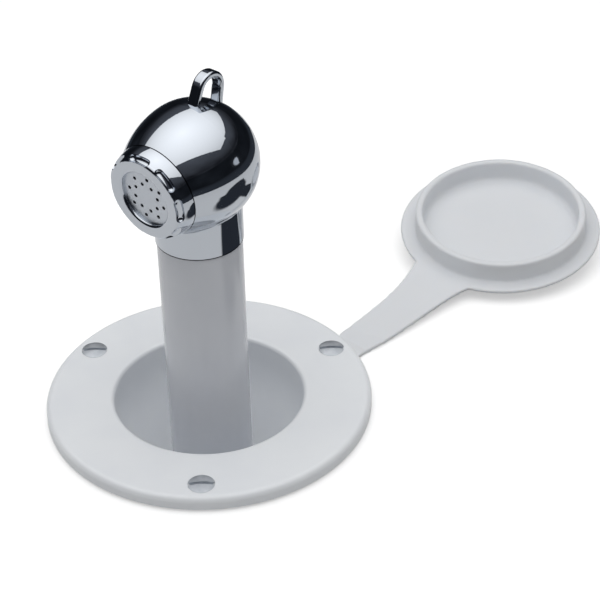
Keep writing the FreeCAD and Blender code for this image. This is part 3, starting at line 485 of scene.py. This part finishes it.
soft_pvc = new_material("soft_white_pvc")
place = add(soft_pvc, "ShaderNodeTexCoord").outputs["Object"]
slow = add(soft_pvc, "ShaderNodeTexNoise", {"Scale": MM_PER_M / PVC_WAVE_MM, "Detail": 3.0},
           Vector=place)
fine = add(soft_pvc, "ShaderNodeTexNoise", {"Scale": MM_PER_M / PVC_GRAIN_MM, "Detail": 3.0},
           Vector=place)
tone = add(soft_pvc, "ShaderNodeValToRGB", Fac=slow.outputs["Fac"])
tone.color_ramp.elements[0].color = linear(PVC_SHADE)
tone.color_ramp.elements[1].color = linear(PVC_WHITE)
relief = add(soft_pvc, "ShaderNodeBump", {"Strength": 0.35, "Distance": 0.03 * MM},
             Height=fine.outputs["Fac"])
pvc_surface = add(
    soft_pvc, "ShaderNodeBsdfPrincipled",
    {"Roughness": 0.46, "IOR": PLASTIC_IOR, "Subsurface Weight": 0.25,
     "Subsurface Radius": (1.0, 0.9, 0.8), "Subsurface Scale": 1.2 * MM},
    Base_Color=tone.outputs[0], Normal=relief.outputs[0])
add(soft_pvc, "ShaderNodeOutputMaterial", Surface=pvc_surface.outputs[0])
print("soft plastic", soft_pvc.name)

# %% [markdown]
# The head is chrome plated. Chromium reflects a little over half of the light at every colour,
# which is darker than silver, so its base colour is a mid grey. The plate is bright, with long
# faint waves from the plastic under it and a thin haze where hands have wiped it. Where the nozzle
# ring meets the ball, and at the neck's lower edge, the photograph shows a fine dark line: the
# shade in the gap between the two parts. That shade is painted here as a dark line on the chrome,
# 0.36 mm wide so that it shows. Each line lies in a plane, so it is found by its distance from
# that plane.

# %% Chrome plate
CHROMIUM = "#C0C5CC"
PLATE_WAVE_MM = 9.0
WIPED_MM = 14.0
BALL_CENTRE = Vector((0, 0, 105.3)) * MM
SPRAY_AXIS = Vector((-0.92691, -0.36699, -0.07846))
NOZZLE_SEAM = 19.2 * MM             # before the ball's centre, along the spray's axis
COLLAR_SEAM = 75.2 * MM             # above the deck
SEAM_HALF = 0.18 * MM
SEAM_SHADE = "#202226"
MIX_A, MIX_B, MIX_RESULT = 6, 7, 2  # a Mix node's colour sockets, whose names aren't theirs alone


def plated(name, colour, roughness, haze, wave_strength, seams=()):
    """A plated metal: mirror bright, faint waves, a wiped haze, painted shade at its seams."""
    material = new_material(name)
    place = add(material, "ShaderNodeTexCoord").outputs["Object"]
    waves = add(material, "ShaderNodeTexNoise", {"Scale": MM_PER_M / PLATE_WAVE_MM, "Detail": 1.0},
                Vector=place)
    wiped = add(material, "ShaderNodeTexNoise",
                {"Scale": MM_PER_M / WIPED_MM, "Detail": 5.0, "Distortion": 0.8}, Vector=place)
    dull = add(material, "ShaderNodeMapRange",
               {"From Min": 0.42, "From Max": 0.75,
                "To Min": roughness, "To Max": roughness + haze},
               Value=wiped.outputs["Fac"])
    relief = add(material, "ShaderNodeBump", {"Strength": wave_strength, "Distance": 0.15 * MM},
                 Height=waves.outputs["Fac"])
    tint = linear(colour)
    # Painted shade: each seam gets a dark line where the gap between two parts lies in shade.
    for axis, distance in seams:
        along = add(material, "ShaderNodeVectorMath",
                    {"operation": "DOT_PRODUCT", 0: place, 1: axis})
        near = add(material, "ShaderNodeMath", {
            "operation": "COMPARE", 0: along.outputs["Value"], 1: distance, 2: SEAM_HALF})
        line = add(material, "ShaderNodeMix",
                   {"data_type": "RGBA", MIX_A: tint, MIX_B: linear(SEAM_SHADE)},
                   Factor=near.outputs[0])
        tint = line.outputs[MIX_RESULT]
    surface = add(material, "ShaderNodeBsdfPrincipled", {"Base Color": tint, "Metallic": 1.0},
                  Roughness=dull.outputs[0], Normal=relief.outputs[0])
    add(material, "ShaderNodeOutputMaterial", Surface=surface.outputs[0])
    return material


nozzle_seam = (SPRAY_AXIS, BALL_CENTRE.dot(SPRAY_AXIS) + NOZZLE_SEAM)
collar_seam = (Z_AXIS, COLLAR_SEAM + SEAM_HALF)
chrome = plated("chrome_plate", CHROMIUM, roughness=0.035, haze=0.05, wave_strength=0.10)
# The head's chrome, with painted shade lines at its two seams.
head_chrome = plated("chrome_plate_with_painted_seam_shade", CHROMIUM,
                     roughness=0.035, haze=0.05, wave_strength=0.10,
                     seams=(nozzle_seam, collar_seam))
chromed_brass = plated("chromed_brass", CHROMIUM, roughness=0.07, haze=0.06, wave_strength=0.05)
print("chrome", CHROMIUM)

# %% [markdown]
# The spray plate is satin chrome: the same metal over a finely blasted surface. The grain scatters
# the mirror image into an even grey. It is drawn at 0.3 mm, coarser than real blasting, so that it
# shows.

# %% Satin chrome
GRIT_MM = 0.3
CLOUD_MM = 4.0

satin_chrome = new_material("satin_chrome")
place = add(satin_chrome, "ShaderNodeTexCoord").outputs["Object"]
grit = add(satin_chrome, "ShaderNodeTexVoronoi", {"Scale": MM_PER_M / GRIT_MM}, Vector=place)
cloud = add(satin_chrome, "ShaderNodeTexNoise", {"Scale": MM_PER_M / CLOUD_MM, "Detail": 3.0},
            Vector=place)
dull = add(satin_chrome, "ShaderNodeMapRange", {"To Min": 0.30, "To Max": 0.42},
           Value=cloud.outputs["Fac"])
relief = add(satin_chrome, "ShaderNodeBump", {"Strength": 0.5, "Distance": 0.06 * MM},
             Height=grit.outputs["Distance"])
satin_surface = add(satin_chrome, "ShaderNodeBsdfPrincipled",
                    {"Base Color": linear("#C6CBD2"), "Metallic": 1.0},
                    Roughness=dull.outputs[0], Normal=relief.outputs[0])
add(satin_chrome, "ShaderNodeOutputMaterial", Surface=satin_surface.outputs[0])
print("satin grit", GRIT_MM, "mm")

# %% [markdown]
# The screws are stainless steel, turned from bar, which leaves fine tool marks and a duller metal
# than chrome. The spring is drawn steel wire. The swivel's nut, the valve's seat, its gland and its
# stem are brass, dulled by a thin oxide.

# %% Turned metals
PATCH_MM = 3.0


def turned_metal(name, colour, shade, roughness, mark_mm):
    """A machined metal: tool marks, with patches where it has dulled."""
    material = new_material(name)
    place = add(material, "ShaderNodeTexCoord").outputs["Object"]
    marks = add(material, "ShaderNodeTexNoise", {"Scale": MM_PER_M / mark_mm, "Detail": 4.0},
                Vector=place)
    patches = add(material, "ShaderNodeTexNoise", {"Scale": MM_PER_M / PATCH_MM, "Detail": 4.0},
                  Vector=place)
    tone = add(material, "ShaderNodeValToRGB", Fac=patches.outputs["Fac"])
    tone.color_ramp.elements[0].position = TONE_FROM
    tone.color_ramp.elements[0].color = linear(shade)
    tone.color_ramp.elements[1].position = TONE_TO
    tone.color_ramp.elements[1].color = linear(colour)
    dull = add(material, "ShaderNodeMapRange",
               {"To Min": roughness - 0.06, "To Max": roughness + 0.12},
               Value=patches.outputs["Fac"])
    relief = add(material, "ShaderNodeBump", {"Strength": 0.3, "Distance": 0.03 * MM},
                 Height=marks.outputs["Fac"])
    surface = add(material, "ShaderNodeBsdfPrincipled", {"Metallic": 1.0},
                  Base_Color=tone.outputs[0], Roughness=dull.outputs[0], Normal=relief.outputs[0])
    add(material, "ShaderNodeOutputMaterial", Surface=surface.outputs[0])
    return material


stainless = turned_metal("turned_stainless_steel", "#DCE0E5", "#C9CED4",
                         roughness=0.52, mark_mm=0.25)
spring_steel = turned_metal("drawn_spring_steel", "#A9ACB0", "#94979B",
                            roughness=0.30, mark_mm=0.2)
brass = turned_metal("turned_brass", "#D2B36A", "#B8964E", roughness=0.30, mark_mm=0.3)
print("metals", stainless.name, spring_steel.name, brass.name)

# %% [markdown]
# Pieces that are seldom seen are plainer, but each is still what it is: black nitrile rubber for
# the seals, closed cell foam for the gasket, black acetal for the hose guide, its nut and the
# swivel's bush, and milky acetal for the water tube, the valve's body and the guide ring.

# %% Rubber, foam and acetal
def dull_solid(name, colour, shade, roughness, grain_mm, depth_mm):
    """A plain moulded material: two close tones and a surface grain."""
    material = new_material(name)
    place = add(material, "ShaderNodeTexCoord").outputs["Object"]
    grain = add(material, "ShaderNodeTexNoise", {"Scale": MM_PER_M / grain_mm, "Detail": 4.0},
                Vector=place)
    tone = add(material, "ShaderNodeValToRGB", Fac=grain.outputs["Fac"])
    tone.color_ramp.elements[0].color = linear(shade)
    tone.color_ramp.elements[1].color = linear(colour)
    relief = add(material, "ShaderNodeBump", {"Strength": 0.4, "Distance": depth_mm * MM},
                 Height=grain.outputs["Fac"])
    surface = add(material, "ShaderNodeBsdfPrincipled", {"Roughness": roughness},
                  Base_Color=tone.outputs[0], Normal=relief.outputs[0])
    add(material, "ShaderNodeOutputMaterial", Surface=surface.outputs[0])
    return material


black_rubber = dull_solid("black_nitrile_rubber", "#1B1B1C", "#131314",
                          roughness=0.62, grain_mm=0.5, depth_mm=0.03)
grey_foam = dull_solid("closed_cell_foam", "#5B5D60", "#4A4C4F",
                       roughness=0.85, grain_mm=0.7, depth_mm=0.15)
black_acetal = dull_solid("black_acetal", "#202124", "#17181A",
                          roughness=0.38, grain_mm=0.4, depth_mm=0.02)
milky_acetal = dull_solid("milky_acetal", "#DAD9D2", "#D0CFC8",
                          roughness=0.35, grain_mm=2.0, depth_mm=0.02)
print("plain materials", black_rubber.name, grey_foam.name, black_acetal.name, milky_acetal.name)

# %% [markdown]
# The cap is one soft moulding: a thin disc, the ring that plugs the mouth, and a strap that widens
# towards the disc and ends in a tab under the flange. A CAD solid doesn't bend, so this piece is
# made here. It is drawn flat in separate closed pieces, in its own frame, with the tab's screw
# hole at the origin and the strap along X.

# %% Cap: disc and tab
SHEET_T = 1.6 * MM
CAP_X = 103.8 * MM
CAP_R = 40.5 * MM
CAP_RIM = 0.55 * MM
CAP_STEPS = 192
TAB_R = 7.3 * MM
TAB_HOLE_R = 2.5 * MM
TAB_STEPS = 64

start_clean()
bpy.ops.mesh.primitive_cylinder_add(
    vertices=CAP_STEPS, radius=CAP_R, depth=SHEET_T, location=(CAP_X, 0, SHEET_T / 2))
cap_disc = bpy.context.object
bpy.ops.object.mode_set(mode="EDIT")
bpy.ops.mesh.select_all(action="DESELECT")
bpy.ops.mesh.edges_select_sharp(sharpness=SHARP_EDGE)
bpy.ops.mesh.bevel(offset=CAP_RIM, segments=4)
bpy.ops.object.mode_set(mode="OBJECT")


def turned_section(name, x, corners, steps):
    """A closed ring spun round an upright axis at x. Its section is drawn from corner to corner
    (radius, height) by extruding one vertex, as by hand, and ends where it began."""
    start_clean()
    first = corners[0]
    bpy.ops.mesh.primitive_plane_add(size=MM, location=(x + first[0], 0, first[1]))
    ring = bpy.context.object
    ring.name = name
    bpy.ops.object.mode_set(mode="EDIT")
    bpy.ops.mesh.select_mode(type="VERT")
    bpy.ops.mesh.select_all(action="SELECT")
    bpy.ops.mesh.merge(type="CENTER")
    here = first
    for there in [*corners[1:], first]:
        step = (there[0] - here[0], 0, there[1] - here[1])
        bpy.ops.mesh.extrude_region_move(TRANSFORM_OT_translate={"value": step})
        here = there
    bpy.ops.mesh.select_all(action="SELECT")
    bpy.ops.mesh.remove_doubles(threshold=WELD)
    bpy.ops.mesh.select_all(action="SELECT")
    bpy.ops.mesh.spin(steps=steps, angle=2 * math.pi, center=(x, 0, 0), axis=(0, 0, 1))
    bpy.ops.mesh.select_all(action="SELECT")
    bpy.ops.mesh.remove_doubles(threshold=WELD)
    bpy.ops.mesh.normals_make_consistent(inside=False)
    bpy.ops.object.mode_set(mode="OBJECT")
    print(name, len(ring.data.polygons), "faces from", len(corners), "corners")
    return ring


tab_section = ((TAB_HOLE_R, 0), (TAB_R, 0), (TAB_R, SHEET_T), (TAB_HOLE_R, SHEET_T))
tab = turned_section("tab", 0, tab_section, TAB_STEPS)
print("disc", round(2 * CAP_R / MM, 1), "mm across, tab", round(2 * TAB_R / MM, 1), "mm")

# %% [markdown]
# The plug ring is a wall on the disc, with a round top and a soft fillet at its inner root, which
# is what the light rolls over. Its section is drawn once, corner by corner, and spun.

# %% Cap: plug ring
PLUG_R = 34.5 * MM
PLUG_WALL = 3.0 * MM
PLUG_H = 8.2 * MM
PLUG_EDGE = 0.9 * MM
PLUG_ROOT = 1.5 * MM


def quarter(centre, radius, start, steps=5):
    """Points of a quarter circle (radius, height) that starts at an angle in degrees."""
    angles = [math.radians(start + 90 * k / steps) for k in range(steps + 1)]
    return [(centre[0] + radius * math.cos(a), centre[1] + radius * math.sin(a)) for a in angles]


plug_in = PLUG_R - PLUG_WALL
plug_top = SHEET_T + PLUG_H
section = [(plug_in - PLUG_ROOT, SHEET_T / 2), (PLUG_R, SHEET_T / 2)]
section += quarter((PLUG_R - PLUG_EDGE, plug_top - PLUG_EDGE), PLUG_EDGE, 0)
section += quarter((plug_in + PLUG_EDGE, plug_top - PLUG_EDGE), PLUG_EDGE, 90)
section += reversed(quarter((plug_in - PLUG_ROOT, SHEET_T + PLUG_ROOT), PLUG_ROOT, 270))
plug_ring = turned_section("plug_ring", CAP_X, section, CAP_STEPS)
print("plug ring", round(2 * PLUG_R / MM, 1), "mm across,", round(PLUG_H / MM, 1), "mm high")

# %% [markdown]
# The strap starts as a short box at the tab and is extruded step by step, and each new end is made
# as wide as the strap is there. It bows a little sideways, as the photograph shows. The steps are
# close where it bends up, just outside the flange.

# %% Cap: strap
BOX_FROM = 4.0                      # in mm from the screw, like the steps
BOX_TO = 10.0
STRAP_STEPS = (                     # place along the strap, half width, bow
    (11.0, 7.3, 0.0), (12.0, 7.4, 0.0), (13.0, 7.5, 0.0), (14.0, 7.6, -0.1), (15.0, 7.7, -0.1),
    (16.0, 7.8, -0.2), (17.0, 7.9, -0.3), (18.0, 7.95, -0.4), (21.0, 8.0, -0.7), (25.0, 8.1, -1.0),
    (29.0, 8.3, -1.2), (33.0, 8.5, -1.35), (37.0, 8.75, -1.45), (41.0, 9.0, -1.5),
    (45.0, 9.3, -1.5), (49.0, 9.75, -1.4), (52.0, 10.15, -1.25), (55.0, 10.65, -1.1),
    (58.0, 11.25, -0.9), (60.5, 11.8, -0.75), (62.5, 12.35, -0.65), (64.5, 13.0, -0.6),
    (66.5, 13.7, -0.5), (72.0, 14.5, 0.0),
)

start_clean()
bpy.ops.mesh.primitive_cube_add(
    size=1, location=((BOX_FROM + BOX_TO) / 2 * MM, 0, SHEET_T / 2))
strap = bpy.context.object
bpy.ops.object.mode_set(mode="EDIT")
bpy.ops.transform.resize(value=((BOX_TO - BOX_FROM) * MM, 2 * TAB_R, SHEET_T))
bpy.ops.mesh.select_all(action="DESELECT")
bpy.ops.object.mode_set(mode="OBJECT")
for face in strap.data.polygons:
    face.select = face.normal.x > 0.9   # only the end face, which looks along the strap
bpy.ops.object.mode_set(mode="EDIT")
at, half, aside = BOX_TO, TAB_R / MM, 0.0
for x, wide, bow in STRAP_STEPS:
    step = ((x - at) * MM, (bow - aside) * MM, 0)
    bpy.ops.mesh.extrude_region_move(TRANSFORM_OT_translate={"value": step})
    bpy.ops.transform.resize(value=(1, wide / half, 1))
    at, half, aside = x, wide, bow
bpy.ops.object.mode_set(mode="OBJECT")
print("strap", len(strap.data.polygons), "faces")

# %% [markdown]
# Now the flat pieces are bent as one. The strap twists by about three degrees over its length, and
# it bends up by five degrees close to the flange. Both are done as by hand, a step at a time:
# all that lies beyond a line is turned a little about that line.

# %% Cap: twist and bend
TWIST = math.radians(3.2)
LIFT = math.radians(5.1)
TWIST_LINES = [20.0 + 4.0 * k for k in range(11)]   # in mm from the screw
LIFT_LINES = [11.5 + 1.0 * k for k in range(7)]


def turn_beyond(piece, line, angle, axis):
    """Turn all of a piece that lies beyond a line across the strap, about that line. The angle
    is right-handed, so its sign is changed: with no window the operator turns the other way."""
    only(piece)
    for vertex in piece.data.vertices:
        vertex.select = vertex.co.x > line * MM
    bpy.ops.object.mode_set(mode="EDIT")
    bpy.ops.transform.rotate(
        value=-angle, orient_axis=axis, center_override=(line * MM, 0, SHEET_T / 2))
    bpy.ops.object.mode_set(mode="OBJECT")


start_clean()
for piece in (cap_disc, tab, plug_ring, strap):
    piece.select_set(True)
bpy.context.view_layer.objects.active = strap
bpy.ops.object.join()
moulding = strap
moulding.name = "cap_and_strap"
bpy.ops.object.transform_apply(location=True, rotation=True, scale=True)
only(moulding)
bpy.ops.object.mode_set(mode="EDIT")
bpy.ops.mesh.select_all(action="DESELECT")
bpy.ops.mesh.select_mode(type="VERT")
bpy.ops.object.mode_set(mode="OBJECT")
for line in TWIST_LINES:
    turn_beyond(moulding, line, TWIST / len(TWIST_LINES), "X")
for line in LIFT_LINES:
    turn_beyond(moulding, line, -LIFT / len(LIFT_LINES), "Y")
print("cap top", round(max(v.co.z for v in moulding.data.vertices) / MM, 2), "mm above the tab")

# %% [markdown]
# A voxel remesh melts the pieces into one skin, and a light smoothing rounds the corners where
# strap, disc and ring meet. Half a millimetre is fine enough to keep the disc's rim. Then the cap
# goes to its place.

# %% Cap: one skin, in place
VOXEL = 0.5 * MM
SCREW_X = 52.0 * MM
SWUNG = math.radians(18.3)
TAB_LIFT = 0.2 * MM

only(moulding)
skin = moulding.modifiers.new("skin", "REMESH")
skin.mode = "VOXEL"
skin.voxel_size = VOXEL
bpy.ops.object.modifier_apply(modifier="skin")
soften = moulding.modifiers.new("soften", "SMOOTH")
soften.factor = 0.5
soften.iterations = 3
bpy.ops.object.modifier_apply(modifier="soften")
moulding.rotation_euler = (0, 0, SWUNG)
moulding.location = (SCREW_X, 0, TAB_LIFT)
bpy.ops.object.transform_apply(location=True, rotation=True, scale=True)
bpy.ops.object.shade_smooth()
moulding.data.materials.clear()
moulding.data.materials.append(soft_pvc)


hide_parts("tether_tab", "plug_cap")
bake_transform(moulding)
print("cap and strap", len(moulding.data.polygons), "faces")

# %% [markdown]
# Two hidden pieces are made here from the frame's own meshes. A copy comes as loose triangles, so
# its corners are merged first. The gasket is a ring cut from foam sheet, and its cut edges are
# bevelled because foam never keeps a sharp corner.

# %% Foam gasket
FOAM_EDGE = 0.25 * MM
SMOOTH_BELOW = math.radians(50)


def own_copy(node_name, name, material):
    """A copy of a frame node, welded into one skin, that stands for that node on the same body."""
    piece = bpy.data.objects.new(name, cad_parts[node_name].data.copy())
    bpy.context.scene.collection.objects.link(piece)
    only(piece)
    bpy.ops.mesh.customdata_custom_splitnormals_clear()
    bpy.ops.object.mode_set(mode="EDIT")
    bpy.ops.mesh.select_all(action="SELECT")
    bpy.ops.mesh.remove_doubles(threshold=WELD)
    bpy.ops.mesh.normals_make_consistent(inside=False)
    bpy.ops.object.mode_set(mode="OBJECT")
    piece.data.materials.clear()
    piece.data.materials.append(material)
    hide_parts(node_name)
    return piece


gasket = own_copy("deck_gasket", "foam_gasket", grey_foam)
bpy.ops.object.mode_set(mode="EDIT")
bpy.ops.mesh.select_all(action="DESELECT")
bpy.ops.mesh.edges_select_sharp(sharpness=SHARP_EDGE)
bpy.ops.mesh.bevel(offset=FOAM_EDGE, segments=2)
bpy.ops.object.mode_set(mode="OBJECT")
bpy.ops.object.shade_smooth_by_angle(angle=SMOOTH_BELOW)
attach(gasket, "housing")
print("gasket", len(gasket.data.polygons), "faces")

# %% [markdown]
# The spring behind the button gets shorter as the button goes in. Its front end rests on the
# gland, and its other end follows the button, whose stroke is 3 mm. Here it is a welded copy of
# the frame's spring in drawn steel that moves with the handset and keeps its length.

spring = own_copy("button_spring", "return_spring", spring_steel)
bpy.ops.object.shade_smooth()
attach(spring, "handset")
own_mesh(spring)

# %% [markdown]
# Each other node of the frame takes the finish of its real material. The frame's meshes carry
# smooth normals of their own, so they only need their slots filled.

# %% Dress the frame
FINISHES = {
    "deck_cup": cup_abs,
    "handle_pocket": pocket_abs,
    "flange_screws": stainless,
    "guide_ring": milky_acetal,
    "hose_guide": black_acetal,
    "guide_nut": black_acetal,
    "hose_inlet": chromed_brass,
    "inlet_o_ring": black_rubber,
    "handle_sleeve": handle_abs,
    "swivel_nut": brass,
    "swivel_bush": black_acetal,
    "water_tube": milky_acetal,
    "tube_seal": black_rubber,
    "head_shell": head_chrome,
    "hanging_eye": chrome,
    "valve_body": milky_acetal,
    "nozzle_ring": head_chrome,
    "spray_plate": satin_chrome,
    "plate_seal": black_rubber,
    "valve_seat": brass,
    "gland": brass,
    "stem_seal": black_rubber,
    "button_bezel": chrome,
    "push_button": chrome,
    "valve_stem": brass,
    "valve_washer": black_rubber,
}
for name, finish in FINISHES.items():
    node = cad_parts[name]
    node.data.materials.clear()
    node.data.materials.append(finish)
print("dressed", len(FINISHES), "nodes")
